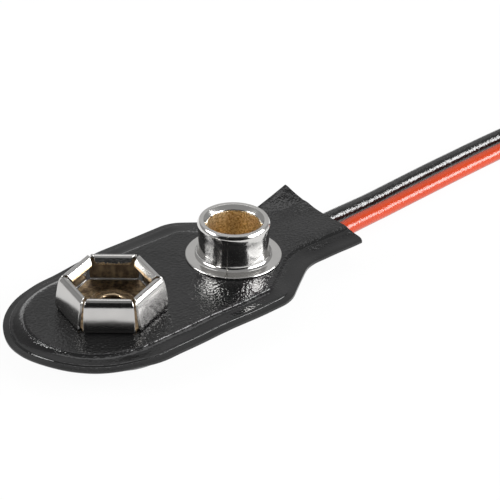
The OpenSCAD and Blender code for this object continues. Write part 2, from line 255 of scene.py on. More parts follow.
def wire_curve(name, routes, diameter):
    """A curve object of round wires, one open spline for each route in millimetres."""
    data = bpy.data.curves.new(name, "CURVE")
    data.dimensions = "3D"
    data.bevel_depth = diameter / 2 * MM
    data.bevel_resolution = 5
    data.resolution_u = 6
    data.use_fill_caps = True
    for route in routes:
        spline = data.splines.new("BEZIER")
        spline.bezier_points.add(len(route) - 1)
        for knot, point in zip(spline.bezier_points, route):
            knot.co = Vector(point) * MM
            knot.handle_left_type = knot.handle_right_type = "AUTO"
    piece = bpy.data.objects.new(name, data)
    bpy.context.scene.collection.objects.link(piece)
    return piece


def settle(piece, material, slot, *nodes):
    """Gives a piece its finish, and seats it on the part in place of those nodes."""
    piece.data.materials.append(material)
    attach(piece, "root")
    if nodes:
        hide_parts(*nodes)
    return piece


red_cord = wire_curve("red_cord", [RED_ROUTE + coil_turns(RED_COIL_R, RED_COIL_SWEEP)], LEAD_D)
settle(red_cord, red_skin, "red_pvc", "red_lead", "lead_coil")
black_cord = wire_curve("black_cord", [BLACK_ROUTE + coil_turns(BLACK_COIL_R, BLACK_COIL_SWEEP)], LEAD_D)
settle(black_cord, black_skin, "black_pvc", "black_lead", "lead_coil")
print("leads:", len(RED_ROUTE), "and", len(BLACK_ROUTE), "points before their coils")

# %% [markdown]
# ## Tinned copper
# The far end of each lead is stripped, twisted and dipped in tin, so it is a rope of
# fine bright strands. A smooth rod would do from afar. Seven thin curves that wind
# round the CAD model's path show the twist, which is what makes it read as wire.

# %% Twist the bare ends
STRAND_BUNDLE_D = 0.5
STRANDS = 6
STRAND_D = STRAND_BUNDLE_D / 3
TINNED_LENGTH = 5
TWIST_PER_MM = radians(110)
TWIST_STEPS = 40


def tin(place):
    dull = place.noise(0.12, detail=3)
    return {
        "Base Color": dull.colours((0.42, 0.42, 0.42, 1), (0.66, 0.65, 0.63, 1)),
        "Metallic": 1.0,
        "Roughness": 0.22 + 0.2 * dull,
    }


tinned = make_finish("tinned_copper", tin)


def twisted_end(radius, sweep):
    """Routes of the strands, which go on from a lead's last turn along its arc."""
    routes = []
    for strand in range(STRANDS + 1):
        reach = 0 if strand == STRANDS else STRAND_D
        route = []
        for step in range(TWIST_STEPS + 1):
            along = TINNED_LENGTH * step / TWIST_STEPS
            turned = sweep + degrees(along / radius)
            twist = along * TWIST_PER_MM + radians(360 * strand / STRANDS)
            x, y, z = coil_point(radius + reach * cos(twist), turned, 1)
            route.append((x, y, z + reach * sin(twist)))
        routes.append(route)
    return routes


red_end = wire_curve("red_bare_end", twisted_end(RED_COIL_R, RED_COIL_SWEEP), STRAND_D)
settle(red_end, tinned, "solder", "red_tinned_end")
black_end = wire_curve("black_bare_end", twisted_end(BLACK_COIL_R, BLACK_COIL_SWEEP), STRAND_D)
settle(black_end, tinned, "solder", "black_tinned_end")
print("bare ends:", STRANDS + 1, "strands each")

# %% [markdown]
# ## What kind of thing a lead is
# A lead is limp, so another scene may want to lay it differently. The curve alone does
# not say where it is held. The leads' lengths are the usual ones.

# %% [markdown]
# ## A pen for outlines and sections
# Most of this part is sheet: it is cut to an outline, or bent or spun to a section.
# Both are lines made of straight runs and arcs. Points could be listed by hand,
# but a pen that runs and turns says what the maker does. It extrudes a vertex once for
# a run, and again and again round a centre for an arc.

# %% Make the pen


class Pen:
    """Draws a line of edges in a plane. Angles are in degrees, and positive ones turn left."""

    def __init__(self, bm, start, heading, normal):
        self.bm = bm
        self.vert = bm.verts.new(start)
        self.heading = Vector(heading)
        self.normal = Vector(normal)

    def run(self, length):
        """Draws a straight line."""
        made = bmesh.ops.extrude_vert_indiv(self.bm, verts=[self.vert])
        self.vert = made["verts"][0]
        self.vert.co += self.heading * length

    def turn(self, radius, angle, steps):
        """Draws an arc in that many steps."""
        left = self.normal.cross(self.heading)
        centre = self.vert.co + left * (radius if angle > 0 else -radius)
        one_step = Matrix.Rotation(radians(angle) / steps, 3, self.normal)
        for step in range(steps):
            made = bmesh.ops.extrude_vert_indiv(self.bm, verts=[self.vert])
            self.vert = made["verts"][0]
            self.vert.co = centre + one_step @ (self.vert.co - centre)
        self.heading = Matrix.Rotation(radians(angle), 3, self.normal) @ self.heading


def section_pen(bm, radius, height):
    """A pen for a section: X is the distance from the axis, and it starts outwards."""
    return Pen(bm, (radius, 0, height), (1, 0, 0), (0, -1, 0))


def mesh_piece(name, bm, materials, slot, *nodes, place=None, sharp=40):
    """Turns a bmesh in millimetres into a piece with smooth faces and sharp edges."""
    bmesh.ops.transform(bm, matrix=Matrix.Scale(MM, 4) @ (place or Matrix()), verts=bm.verts)
    mesh = bpy.data.meshes.new(name)
    bm.to_mesh(mesh)
    bm.free()
    mesh.polygons.foreach_set("use_smooth", [True] * len(mesh.polygons))
    mesh.set_sharp_from_angle(angle=radians(sharp))
    piece = bpy.data.objects.new(name, mesh)
    bpy.context.scene.collection.objects.link(piece)
    settle(piece, materials[0], slot, *nodes)
    for extra in materials[1:]:
        mesh.materials.append(extra)
    print(name, "has", len(mesh.polygons), "faces")
    return piece


trial = bmesh.new()
trial_pen = section_pen(trial, 0, 0)
trial_pen.turn(1, 90, 8)
print("a quarter turn of radius 1 ends at", [round(v, 3) for v in trial_pen.vert.co])
trial.free()

# %% [markdown]
# ## The pouch's outline
# Both sheets are cut to one outline: a round end, straight sides, and shoulders that
# draw in to a narrow tail. It could be traced point by point, but a cutting tool is made
# of lines and arcs, so the pen draws one half and a mirror adds the other.

# %% Draw the outline
pouch_low, pouch_high = (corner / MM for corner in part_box("top_cover"))
TAIL_LENGTH = 5.3
SHOULDER_ANGLE = 35
SHOULDER_R = 3.3
FILLET_R = 4.1
TAIL_WIDTH = 9
SPARE_TAIL = 4
end_r = pouch_high.y
end_x = pouch_low.x + end_r
tail_x = pouch_high.x - TAIL_LENGTH
slope = radians(SHOULDER_ANGLE)
slant_drop = end_r - TAIL_WIDTH / 2 - (SHOULDER_R + FILLET_R) * (1 - cos(slope))
slant_length = slant_drop / sin(slope)
shoulder_run = (SHOULDER_R + FILLET_R) * sin(slope) + slant_drop / tan(slope)
side_length = tail_x - shoulder_run - end_x


def outline_face(bm):
    """The pouch's outline as one face. Its tail runs on past the mouth, to be trimmed."""
    pen = Pen(bm, (pouch_low.x, 0, 0), (0, 1, 0), (0, 0, 1))
    pen.turn(end_r, -90, 28)
    pen.run(side_length)
    pen.turn(SHOULDER_R, -SHOULDER_ANGLE, 9)
    pen.run(slant_length)
    pen.turn(FILLET_R, SHOULDER_ANGLE, 9)
    pen.run(TAIL_LENGTH + SPARE_TAIL)
    half = bm.verts[:] + bm.edges[:]
    bmesh.ops.mirror(bm, geom=half, axis="Y", merge_dist=0.001)
    far_end = sorted(bm.verts, key=lambda v: v.co.x)[-2:]
    bmesh.ops.contextual_create(bm, geom=far_end)
    return bmesh.ops.edgeloop_fill(bm, edges=bm.edges[:])["faces"][0]


print("outline: end radius", round(end_r, 2), "side", round(side_length, 2))
print("the tail starts at x", round(tail_x, 2))

# %% [markdown]
# ## A blank sheet
# A sheet starts as one flat face with that outline. Insetting it ring by ring gives
# lines that follow the edge, as the weld does, and cutting it across by planes gives
# the middle enough points to be bent. A grid alone would be simpler, but its steps
# would show along the round weld. A layer keeps each point's distance from the edge,
# which later sets its height.

# %% Cut a blank sheet
GRID_MM = 0.45
SHEET_SNAP = 0.0005
ALONG, ACROSS = Vector((1, 0, 0)), Vector((0, 1, 0))


def cut_across(bm, axis, low, high):
    """Cuts the sheet by evenly spaced planes across an axis."""
    count = round((high - low) / GRID_MM)
    for i in range(1, count):
        at = low + (high - low) * i / count
        everything = bm.verts[:] + bm.edges[:] + bm.faces[:]
        bmesh.ops.bisect_plane(bm, geom=everything, dist=SHEET_SNAP, plane_co=axis * at, plane_no=axis)


def blank_sheet(rings):
    """A flat sheet with the pouch's outline, a ring of points at each distance from its edge."""
    bm = bmesh.new()
    inset = bm.verts.layers.float.new("inset")
    face = outline_face(bm)
    for start, stop in zip(rings, rings[1:]):
        bmesh.ops.inset_region(
            bm, faces=[face], thickness=stop - start, use_even_offset=True, use_boundary=True
        )
        for vert in face.verts:
            vert[inset] = stop
    cut_across(bm, ALONG, pouch_low.x, pouch_high.x)
    cut_across(bm, ACROSS, pouch_low.y, pouch_high.y)
    everything = bm.verts[:] + bm.edges[:] + bm.faces[:]
    mouth = Vector((pouch_high.x, 0, 0))
    bmesh.ops.bisect_plane(
        bm, geom=everything, dist=SHEET_SNAP, plane_co=mouth, plane_no=ALONG, clear_outer=True
    )
    bmesh.ops.recalc_face_normals(bm, faces=bm.faces[:])
    if sum(face.normal.z for face in bm.faces) < 0:
        bmesh.ops.reverse_faces(bm, faces=bm.faces[:])
    return bm, inset


print("a sheet is cut about every", GRID_MM, "mm")

# %% [markdown]
# ## Soft vinyl
# The pouch is two sheets of soft black vinyl. The sheet is calendered, so it has a
# fine pebble that breaks every reflection into specks, and its shine is uneven.
# One flat grey with a roughness would look like paint. Noise at two sizes gives the
# pebble and the slow change from dull to satin. The tool that welds the edge presses
# the pebble nearly flat there, so its height falls near the outline. The tail's far
# side, which curls up, has kept its pebble.

# %% Mix the vinyl
VINYL_PEBBLE_MM = 0.24
VINYL_PATCH_MM = 2.6
WELD_WIDTH, WELD_SOFT = 2.0, 0.2
WELD_PRESS = 0.8
SIDES_MEET = 1


def vinyl(place):
    pebble = place.noise(VINYL_PEBBLE_MM, detail=1)
    patches = place.noise(VINYL_PATCH_MM, detail=2)
    x = place.node("SeparateXYZ", values={0: place}, output="X")
    y = place.node("SeparateXYZ", values={0: place}, output="Y")
    past_end = place.math("MAXIMUM", end_x * MM - x, 0)
    from_middle = place.math("POWER", past_end * past_end + y * y, 0.5)
    near_side = 1 - y.ramp(-SIDES_MEET * MM, SIDES_MEET * MM)
    narrowing = x.ramp((tail_x - shoulder_run) * MM, tail_x * MM) * near_side
    half_width = end_r * MM - (end_r - TAIL_WIDTH / 2) * MM * narrowing
    welded = 1 - (half_width - from_middle).ramp((WELD_WIDTH - WELD_SOFT) * MM, WELD_WIDTH * MM)
    grain = (pebble - 0.5) * (1 - WELD_PRESS * welded)
    return {
        "Base Color": patches.colours((0.006, 0.006, 0.0062, 1), (0.009, 0.009, 0.0092, 1)),
        "Roughness": 0.06 + 0.06 * pebble + 0.06 * (patches - 0.5),
        "Specular IOR Level": 0.42,
        "Normal": grain.bump(0.065),
    }


black_vinyl = make_finish("black_vinyl", vinyl)

# %% [markdown]
# ## How the pouch lies
# The CAD sheets are flat and even. The real pouch has been handled: its round end
# droops, the tail's far corner curls up, its near one is worn round, and the mouth is
# drawn in between them. Each sheet could be pushed about by hand, but these are bends
# of the whole pouch. So one function bends both sheets, and they still meet along the
# weld. Each bend has a size, and a place where it starts and over which it fades.

# %% Bend the pouch
seat_z = pouch_high.z
WELD_Z = 2.15
MOUTH_SHIFT = 0.15
MOUTH_DIP = 0.42
NEAR_CORNER, NEAR_CORNER_W = 0.45, 0.9
TAIL_DROP = 0.16
TAIL_SLOPE_X, TAIL_SLOPE = 7, 5
TAIL_RIM_W, TAIL_RIM_FADE = 0.7, 1.3
CORNER_CURL = Vector((-0.9, 0.3, 1.68))
CURL_X, CURL_Y, CURL_FADE = 8.5, 1, 3.5
CURL_POWER_X, CURL_POWER_Y = 1.3, 1.5
RIM_W, RIM_FADE = 0.6, 2
END_DROOP = 0.55
DROOP_X, DROOP_FADE_X = -2, 6
DROOP_Y, DROOP_FADE_Y = -4, 7
END_DRAW = 0.4
DRAW_X, DRAW_FADE = end_x + 1, 3
PULL_X, PULL_SKEW, PULL_Y = 1.2, 0.4, 0.8
NEAR_DRAW = 0.12
NEAR_FADE_X, NEAR_Y, NEAR_FADE_Y = 6, -3, 4
TRAY_TUCK = 1.2
WAVE_MM = 3.5
WAVE_DEPTH = 0.07


def smooth(t):
    """A step from 0 to 1 with soft ends."""
    t = min(max(t, 0), 1)
    return t * t * (3 - 2 * t)


def bend(point, inset, z):
    """How a point of the pouch moves from the flat blank, where z is its height."""
    x, y = point.x, point.y
    mouth = MOUTH_SHIFT + MOUTH_DIP * (1 - (2 * y / TAIL_WIDTH) ** 2)
    mouth += NEAR_CORNER * max(-y - TAIL_WIDTH / 2 + NEAR_CORNER_W, 0) ** 2
    drawn_in = mouth * smooth((x - tail_x) / TAIL_LENGTH)
    tail_rim = 1 - smooth((inset - TAIL_RIM_W) / TAIL_RIM_FADE)
    sink = TAIL_DROP * smooth((x - TAIL_SLOPE_X) / TAIL_SLOPE) * tail_rim
    along = min(max((x - CURL_X) / (pouch_high.x - CURL_X), 0), 1)
    curl = along ** CURL_POWER_X * smooth((y - CURL_Y) / CURL_FADE) ** CURL_POWER_Y
    rim = 1 - smooth((inset - RIM_W) / RIM_FADE)
    droop = END_DROOP * rim * smooth((DROOP_X - x) / DROOP_FADE_X) * smooth((y - DROOP_Y) / DROOP_FADE_Y)
    wave = WAVE_DEPTH * noise.noise(Vector((x, y, 0)) / WAVE_MM)
    skew = PULL_X + PULL_SKEW * y / end_r
    inwards = Vector((skew * max(end_x - x, 0), -PULL_Y * y, 0)) / end_r
    tuck = TRAY_TUCK * (1 - min(z / WELD_Z, 1))
    draw = (END_DRAW * rim + tuck) * smooth((DRAW_X - x) / DRAW_FADE)
    near = NEAR_DRAW * rim * smooth((x - end_x) / NEAR_FADE_X) * smooth((NEAR_Y - y) / NEAR_FADE_Y)
    return Vector((-drawn_in, near, wave - sink - droop)) + inwards * draw + CORNER_CURL * curl


print("the tail's far corner curls up by", CORNER_CURL.z, "mm")

# %% [markdown]
# ## The two sheets
# The upper sheet has a low margin along its cut edge, a step up to the flat weld, and
# a second step to the face that the terminals sit on. Towards the tail they fade into
# one softer step. The lower sheet has the same edge, and then falls as a shallow tray
# to the table. The sheets could be sculpted, but a weld has one section all the way
# round. So each is given as profiles: pairs of a distance from the edge and a height.

# %% Form the sheets
CREASE_END_X, CREASE_FADE = 4.2, 1.8


def height_at(profile, inset):
    """The height that a profile has at a distance from the edge."""
    for (near, low), (far, high) in zip(profile, profile[1:]):
        if inset <= far:
            return low + (high - low) * (inset - near) / (far - near)
    return profile[-1][1]


def formed_sheet(name, upper, tail, lower, node):
    """A vinyl sheet between its profiles, bent as the pouch lies. The tail has its own upper one."""
    rings = sorted({inset for inset, height in upper + tail + lower})
    bm, inset = blank_sheet(rings)
    made = bmesh.ops.extrude_face_region(bm, geom=bm.faces[:], use_keep_orig=True)
    underside = {v for v in made["geom"] if isinstance(v, bmesh.types.BMVert)}
    for vert in bm.verts:
        if vert in underside:
            z = height_at(lower, vert[inset])
        else:
            in_tail = smooth((vert.co.x - CREASE_END_X) / CREASE_FADE)
            z = height_at(upper, vert[inset]) * (1 - in_tail) + height_at(tail, vert[inset]) * in_tail
        moved = bend(vert.co, vert[inset], z)
        moved.z *= min(z / WELD_Z, 1)
        vert.co += moved + Vector((0, 0, z))
    bmesh.ops.recalc_face_normals(bm, faces=bm.faces[:])
    mesh_piece(name, bm, [black_vinyl], "vinyl", node, sharp=50)


top_upper = [
    (0, 2.28), (0.3, 2.32), (0.5, 2.33), (0.54, 2.345), (0.56, 2.372), (0.58, 2.399), (0.61, 2.416),
    (0.78, 2.43), (1.2, 2.435), (1.55, 2.44), (1.75, 2.48), (1.95, 2.55), (1.99, 2.575), (2.01, 2.603),
    (2.03, 2.631), (2.06, 2.65), (2.12, 2.662), (2.3, 2.67), (3, 2.65),
]
top_tail = [(0, 2.28), (0.3, 2.33), (1.2, 2.39), (1.8, 2.45), (2.06, 2.58), (2.3, 2.64), (3, 2.65)]
top_lower = [(0, 2.15), (1.75, 2.15), (2.28, 2.25), (3, 2.25)]
tray_upper = [(0, 2.15), (1.75, 2.15), (1.9, 2.1), (2.66, 0.5), (2.8, 0.4), (3.4, 0.4)]
tray_lower = [
    (0, 2.05), (0.06, 1.99), (0.3, 1.94), (1.4, 1.85), (1.55, 1.8),
    (1.68, 1.7), (1.78, 1.55), (2.3, 0.4), (2.42, 0.2), (2.56, 0.08), (2.75, 0.02), (3, 0), (3.4, 0),
]
formed_sheet("top_sheet", top_upper, top_tail, top_lower, "top_cover")
formed_sheet("bottom_sheet", tray_upper, tray_upper, tray_lower, "bottom_cover")

# %% [markdown]
# ## Nickel and brass
# The terminals are pressed from brass sheet and plated with bright nickel.
# The plating is thin inside the folds, where the brass shows through, stained brown.
# Polished metal takes its look from what it mirrors, so its colour is nearly even,
# and slight waves in the sheet bend the reflections. The brass is rough and speckled.

# %% Mix the metals
SHEET_WAVE_MM = 0.9
POLISH_MM = 0.08


def nickel_with_painted_shade(place):
    waves = place.noise(SHEET_WAVE_MM, detail=1)
    fine = place.noise(POLISH_MM, detail=2)
    return {
        # Darker than the stud's nickel: painted shade, standing in for the dim table that the petals
        # mirror.
        "Base Color": waves.colours((0.51, 0.5, 0.49, 1), (0.58, 0.57, 0.555, 1)),
        "Metallic": 1.0,
        "Roughness": 0.15 + 0.04 * fine,
        "Normal": waves.bump(0.006),
    }


def stained_brass(place):
    stain = place.noise(0.5, detail=4, roughness=0.7)
    specks = place.noise(0.12, detail=2)
    return {
        "Base Color": stain.ramp(0.35, 0.7).colours((0.14, 0.092, 0.06, 1), (0.56, 0.41, 0.24, 1)),
        "Metallic": 1.0,
        "Roughness": 0.25 + 0.25 * specks,
        "Normal": specks.bump(0.01),
    }


nickel = make_finish("nickel_with_painted_shade", nickel_with_painted_shade)
brass = make_finish("stained_brass", stained_brass)

# %% [markdown]
# ## Worn plating
# On the socket's flaps the nickel ends in a ragged line, and below it stained brass
# shows. Two materials could meet there, but only along the straight edge of a face. So
# one recipe compares each place's height with a border, and noise moves that border up
# and down.

# %% Mix the worn plating
socket_low, socket_high = (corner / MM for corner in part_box("socket_terminal"))
FLAP_PLATED = 0.42
RAGGED_DEPTH = 0.5
FLAP_BORDER = 0.05


def worn_flap(place):
    """Nickel that ends in a ragged line at a height, with stained brass below it."""
    height = place.node("SeparateXYZ", values={0: place}, output="Z")
    ragged = place.noise(0.25, detail=4, roughness=0.7)
    border = (socket_high.z - FLAP_PLATED) * MM + RAGGED_DEPTH * MM * (ragged - 0.5)
    bare = 1 - (height - border).ramp(-FLAP_BORDER * MM, FLAP_BORDER * MM)
    stain = place.noise(0.2, detail=4, roughness=0.7)
    brown = stain.ramp(0.35, 0.65).colours((0.17, 0.12, 0.08, 1), (0.74, 0.54, 0.31, 1))
    return {
        "Base Color": bare.colours((0.75, 0.74, 0.72, 1), brown),
        "Metallic": 1.0,
        "Roughness": 0.14 + 0.1 * ragged + 0.2 * bare,
        "Normal": stain.bump(0.012),
    }


worn_nickel = make_finish("worn_nickel", worn_flap)

# %% [markdown]
# ## A petal of the socket
# The socket is one star-shaped blank. Its six arms are bent up into a hexagon, and
# each is rolled inwards at the top and folded down, so that it springs. It could be
# cut from a solid hexagon, but then the folds and the thin sheet would be lost. So one
# arm is drawn as a section, drawn out to a strip, cut at the mitres and thickened.
# The slots are a little wider at the foot, where the blank is notched.

# %% Bend a petal
PETALS = 6
SOCKET_FLATS = 8
SHEET_T = 0.26
PETAL_BEND_R = 0.4
PETAL_FOOT_LEAN, PETAL_WALL_LEAN, PETAL_TOP_LEAN = 4, 13, 40
PETAL_SHOULDER_R = 1.2
PETAL_ROLL_R = 0.3
PETAL_TURN = 150
PETAL_FLAP = 0.55
SLOT_LOW, SLOT_HIGH = 0.28, 0.15
METAL_SNAP = 0.0001
PLATED, BARE, WORN = 0, 1, 2
FLAP_FACING = -0.5
RIM_ANGLE = 1
socket_h = socket_high.z - socket_low.z
wall_r = SOCKET_FLATS / 2
mitre = radians(180 / PETALS)


def petal(bm):
    """One arm of the socket, pointing along +X, as a strip of sheet."""
    pen = section_pen(bm, wall_r - PETAL_BEND_R, 0)
    pen.turn(PETAL_BEND_R, 90 + PETAL_FOOT_LEAN, 8)
    wall_sine = sin(radians(PETAL_WALL_LEAN))
    top_sine = sin(radians(PETAL_TOP_LEAN))
    top_h = PETAL_SHOULDER_R * (top_sine - wall_sine) + PETAL_ROLL_R * (1 - top_sine)
    wall_h = socket_h - top_h - pen.vert.co.z
    pen.turn(wall_h / (wall_sine - sin(radians(PETAL_FOOT_LEAN))), PETAL_WALL_LEAN - PETAL_FOOT_LEAN, 10)
    pen.turn(PETAL_SHOULDER_R, PETAL_TOP_LEAN - PETAL_WALL_LEAN, 8)
    pen.turn(PETAL_ROLL_R, PETAL_TURN - PETAL_TOP_LEAN, 14)
    pen.run(PETAL_FLAP)
    made = bmesh.ops.extrude_edge_only(bm, edges=bm.edges[:])
    one_side = [v for v in made["geom"] if isinstance(v, bmesh.types.BMVert)]
    other_side = [v for v in bm.verts if v not in one_side]
    bmesh.ops.translate(bm, verts=one_side, vec=(0, wall_r, 0))
    bmesh.ops.translate(bm, verts=other_side, vec=(0, -wall_r, 0))
    widening = (SLOT_HIGH - SLOT_LOW) / socket_h
    for side in (-1, 1):
        outwards = Vector((-sin(mitre), side * cos(mitre), widening))
        foot = Vector((0, -side * SLOT_LOW / cos(mitre), 0))
        everything = bm.verts[:] + bm.edges[:] + bm.faces[:]
        bmesh.ops.bisect_plane(
            bm, geom=everything, dist=METAL_SNAP, plane_co=foot, plane_no=outwards, clear_outer=True
        )
    bmesh.ops.recalc_face_normals(bm, faces=bm.faces[:])
    if sum(f.normal.x * f.calc_area() for f in bm.faces) < 0:
        bmesh.ops.reverse_faces(bm, faces=bm.faces[:])
    outer = set(bm.faces)
    for face in outer:
        face.material_index = WORN if face.normal.x < FLAP_FACING else PLATED
    bmesh.ops.solidify(bm, geom=bm.faces[:], thickness=SHEET_T)
    corners = [edge for edge in bm.edges if edge.calc_face_angle(0) > RIM_ANGLE]
    rims = {face for edge in corners for face in edge.link_faces}
    for face in set(bm.faces) - outer:
        face.material_index = PLATED if face in rims else BARE


arm = bmesh.new()
petal(arm)
print("a petal has", len(arm.faces), "faces")

# %% [markdown]
# ## The whole socket
# A floor with a hole for the eyelet and six turned copies of the petal make the socket.
# An array modifier could turn the copies, but it needs a second object to turn about.
# The photograph shows the socket slightly turned and tilted. A narrow bevel rounds the
# sheet's edges, which catch the light on the real one.

# %% Put the socket together
SOCKET_TURN = -10.5
SOCKET_TILT = 1.2
EYELET_BORE = 1.35
FLOOR_POINTS = 48
EDGE_ROUND, EDGE_ANGLE = 0.03, 50
socket_x = (socket_low.x + socket_high.x) / 2


def socket_floor(bm):
    """The floor of the socket: a hexagon with the hole that the eyelet goes through."""
    bmesh.ops.create_circle(bm, radius=(wall_r - PETAL_BEND_R) / cos(mitre), segments=PETALS)
    bmesh.ops.subdivide_edges(bm, edges=bm.edges[:], cuts=FLOOR_POINTS // PETALS - 1)
    outer = bm.edges[:]
    bmesh.ops.create_circle(bm, radius=EYELET_BORE, segments=FLOOR_POINTS)
    inner = [e for e in bm.edges if e not in outer]
    bmesh.ops.bridge_loops(bm, edges=outer + inner)
    bmesh.ops.recalc_face_normals(bm, faces=bm.faces[:])
    if bm.faces[0].normal.z > 0:
        bmesh.ops.reverse_faces(bm, faces=bm.faces[:])
    bmesh.ops.solidify(bm, geom=bm.faces[:], thickness=SHEET_T)
    for face in bm.faces:
        face.material_index = BARE


def copy_into(bm, part, matrix):
    """Adds a copy of a bmesh, moved by a matrix, and keeps the original."""
    mesh = bpy.data.meshes.new("copy")
    part.to_mesh(mesh)
    mesh.transform(matrix)
    bm.from_mesh(mesh)
    bpy.data.meshes.remove(mesh)


socket_bm = bmesh.new()
socket_floor(socket_bm)
for i in range(PETALS):
    copy_into(socket_bm, arm, Matrix.Rotation(radians(360 / PETALS * i), 4, "Z"))
arm.free()
socket_place = (
    Matrix.Translation((socket_x, 0, seat_z))
    @ Matrix.Rotation(radians(SOCKET_TILT), 4, level)
    @ Matrix.Rotation(radians(SOCKET_TURN), 4, "Z")
)
socket_metals = [nickel, brass, worn_nickel]
socket = mesh_piece(
    "spring_socket", socket_bm, socket_metals, "nickel", "socket_terminal", place=socket_place
)
soft_edges = socket.modifiers.new("soft_edges", "BEVEL")
soft_edges.width = EDGE_ROUND * MM
soft_edges.segments = 2
soft_edges.limit_method = "ANGLE"
soft_edges.angle_limit = radians(EDGE_ANGLE)

# %% [markdown]
# ## The stud
# The stud is drawn from a round blank: a flange, a neck, a rolled lip, and a bore that
# is folded back down inside. Everything about it is round, so its section is drawn
# once and spun. Inside, the plating ends in a ragged line, and below it is brass.

# %% Mix the stud's finish
stud_low, stud_high = (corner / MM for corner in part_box("stud_terminal"))
stud_x = (stud_low.x + stud_high.x) / 2
STUD_STRETCH = 0.12
stud_h = stud_high.z - stud_low.z + STUD_STRETCH
STUD_NECK_R = 2.94
STUD_LIP_R = 3.03
STUD_BORE_R = 2.16
PLATED_DEPTH = 0.45
BORE_SKIN_IN, BORE_SKIN_OUT = 0.12, 0.2
STUD_BORDER = 0.03
BARE_ROUGHER = 4


def stud_plating(place):
    """Bright nickel outside, and stained brass inside below a ragged line."""
    axis = place.node("VectorMath", {"operation": "SUBTRACT"}, {0: place, 1: (stud_x * MM, 0, 0)})
    flat = axis.node("VectorMath", {"operation": "MULTIPLY"}, {0: axis, 1: (1, 1, 0)})
    radius = flat.node("VectorMath", {"operation": "LENGTH"}, {0: flat}, output="Value")
    height = place.node("SeparateXYZ", values={0: place}, output="Z")
    ragged = place.noise(0.35, detail=3)
    border = (seat_z + stud_h - PLATED_DEPTH) * MM + RAGGED_DEPTH * MM * (ragged - 0.5)
    inside = 1 - radius.ramp((STUD_BORE_R + BORE_SKIN_IN) * MM, (STUD_BORE_R + BORE_SKIN_OUT) * MM)
    bare = inside * (1 - (height - border).ramp(-STUD_BORDER * MM, STUD_BORDER * MM))
    waves = place.noise(SHEET_WAVE_MM, detail=1)
    fine = place.noise(POLISH_MM, detail=2)
    stain = place.noise(0.16, detail=3, roughness=0.7)
    brassy = stain.ramp(0.38, 0.6).colours((0.5, 0.35, 0.17, 1), (1, 0.84, 0.55, 1))
    bright = waves.colours((0.64, 0.63, 0.615, 1), (0.71, 0.7, 0.68, 1))
    return {
        "Base Color": bare.colours(bright, brassy),
        "Metallic": 1.0,
        "Roughness": 0.08 + 0.1 * fine + 0.25 * bare,
        "Normal": (waves + BARE_ROUGHER * bare * fine).bump(0.006),
    }


plated_stud = make_finish("plated_stud", stud_plating)

# %% [markdown]
# ## The stud's section
# The maker's tools draw the sheet up into a tube and fold its top over. Its outline
# could be turned from a rod, but the soft foot, the slight flare and the rolled lip
# all come from drawing sheet, so the pen follows the sheet from the flange to the
# bore.

# %% Draw the stud's section
STUD_FLANGE_R, STUD_FLANGE_T = 4.03, 0.18
STUD_FOOT_R = 0.45
NECK_CURVE_R, NECK_CURVE = 2.2, 12
LIP_FLARE_R = 3.5
LIP_EDGE_R, LIP_EDGE = 0.35, 15
LIP_SIDE_R, LIP_SIDE = 0.8, 23
LIP_TOP_R, LIP_INNER_R = 0.06, 0.08
LIP_CHAMFER, BORE_TURN_R = 0.4, 0.2


def stud_section(bm):
    """The stud's outer and inner faces, from under the flange round to the bore's floor."""
    edge = STUD_FLANGE_T / 2
    pen = section_pen(bm, EYELET_BORE, 0)
    pen.run(STUD_FLANGE_R - edge - EYELET_BORE)
    pen.turn(edge, 180, 8)
    foot_turn = 90 - NECK_CURVE
    neck_reach = NECK_CURVE_R * (1 - cos(radians(NECK_CURVE)))
    foot_reach = STUD_FOOT_R * sin(radians(foot_turn)) + neck_reach
    pen.run(STUD_FLANGE_R - edge - STUD_NECK_R - foot_reach)
    pen.turn(STUD_FOOT_R, -foot_turn, 12)
    pen.turn(NECK_CURVE_R, -NECK_CURVE, 6)
    flare = acos(1 - (STUD_LIP_R - STUD_NECK_R) / (2 * LIP_FLARE_R))
    low, high = radians(LIP_EDGE), radians(LIP_EDGE + LIP_SIDE)
    lip_h = LIP_EDGE_R * sin(low) + LIP_SIDE_R * (sin(high) - sin(low)) + LIP_TOP_R * (1 - sin(high))
    lip_reach = LIP_EDGE_R * (1 - cos(low)) + LIP_SIDE_R * (cos(low) - cos(high)) + LIP_TOP_R * cos(high)
    lip_z = stud_h - lip_h - 2 * LIP_FLARE_R * sin(flare)
    pen.run(lip_z - pen.vert.co.z)
    pen.turn(LIP_FLARE_R, -degrees(flare), 8)
    pen.turn(LIP_FLARE_R, degrees(flare), 8)
    pen.turn(LIP_EDGE_R, LIP_EDGE, 5)
    pen.turn(LIP_SIDE_R, LIP_SIDE, 8)
    pen.turn(LIP_TOP_R, 90 - LIP_EDGE - LIP_SIDE, 8)
    half_turn = radians(45)
    bevel_reach = (LIP_INNER_R + LIP_CHAMFER) * sin(half_turn) + BORE_TURN_R * (1 - cos(half_turn))
    pen.run(STUD_LIP_R - lip_reach - bevel_reach - STUD_BORE_R)
    pen.turn(LIP_INNER_R, 45, 5)
    pen.run(LIP_CHAMFER)
    pen.turn(BORE_TURN_R, 45, 6)
    pen.run(pen.vert.co.z - SHEET_T)
    pen.heading = Vector((-1, 0, 0))
    pen.run(STUD_BORE_R - EYELET_BORE)


stud_bm = bmesh.new()
stud_section(stud_bm)
print("the stud's section has", len(stud_bm.edges), "edges")

# %% [markdown]
# ## Spinning the stud
# The section is closed and spun once round the axis. A screw modifier would spin it
# too, but then there would be no mesh to press the next detail into: a hairline groove
# down the outside, where the tool's two halves met. Three cuts make room for it.

# %% Spin the stud
STUD_STEPS = 128
SEAM_ANGLE = radians(-140.5)
SEAM_W, SEAM_DEPTH = 0.1, 0.07


